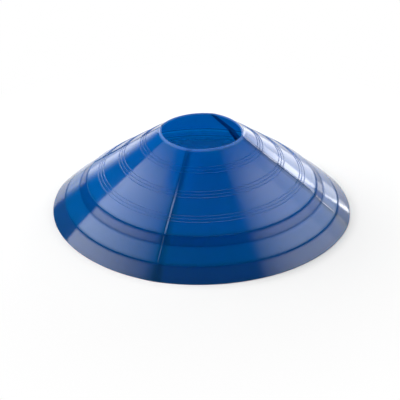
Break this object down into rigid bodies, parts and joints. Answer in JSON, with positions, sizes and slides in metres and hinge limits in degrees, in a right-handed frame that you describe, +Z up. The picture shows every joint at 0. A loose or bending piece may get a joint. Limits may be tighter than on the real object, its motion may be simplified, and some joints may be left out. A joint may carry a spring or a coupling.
{
  "type": "sports marker cone",
  "caption": "Low flexible marker cone with a wide open top, ring ribs, a two-step skirt and moulded fold lines, so the quarters hinge and spring back.",
  "frame": {"origin": "centre of the foot ring, on the surface that the cone stands on", "axes": "+Z up through the middle of the top opening; the four fold lines lie over -Y (front), +X (right), +Y (back) and -X (left)"},
  "size_m": [0.2, 0.2, 0.056],
  "materials": {
    "blue_shell": "glossy moulded polyethylene, slightly scuffed",
    "fold_strip": "thin glossy moulded polyethylene"
  },
  "bodies": {
    "front_left_quarter": {"front_left_panel": "blue_shell", "front_fold": "fold_strip"},
    "front_right_quarter": {"front_right_panel": "blue_shell", "right_fold": "fold_strip"},
    "back_right_quarter": {"back_right_panel": "blue_shell", "back_fold": "fold_strip"},
    "back_left_quarter": {"back_left_panel": "blue_shell", "left_fold": "fold_strip"}
  },
  "joints": [
    {"name": "front_fold_hinge", "type": "hinge", "parent": "front_left_quarter", "child": "front_right_quarter", "pos_m": [0, -0.0274, 0.0554], "axis": [0, -0.8169, -0.5768], "range_deg": [-8, 8], "stiffness_Nm_per_rad": 0.3},
    {"name": "right_fold_hinge", "type": "hinge", "parent": "front_right_quarter", "child": "back_right_quarter", "pos_m": [0.0274, 0, 0.0554], "axis": [0.8169, 0, -0.5768], "range_deg": [-8, 8], "stiffness_Nm_per_rad": 0.3},
    {"name": "left_fold_hinge", "type": "hinge", "parent": "front_left_quarter", "child": "back_left_quarter", "pos_m": [-0.0274, 0, 0.0554], "axis": [-0.8169, 0, -0.5768], "range_deg": [-8, 8], "stiffness_Nm_per_rad": 0.3}
  ],
  "couplings": [
    {"joint": "right_fold_hinge", "follows": "front_fold_hinge", "ratio": -1},
    {"joint": "left_fold_hinge", "follows": "front_fold_hinge", "ratio": 1}
  ]
}
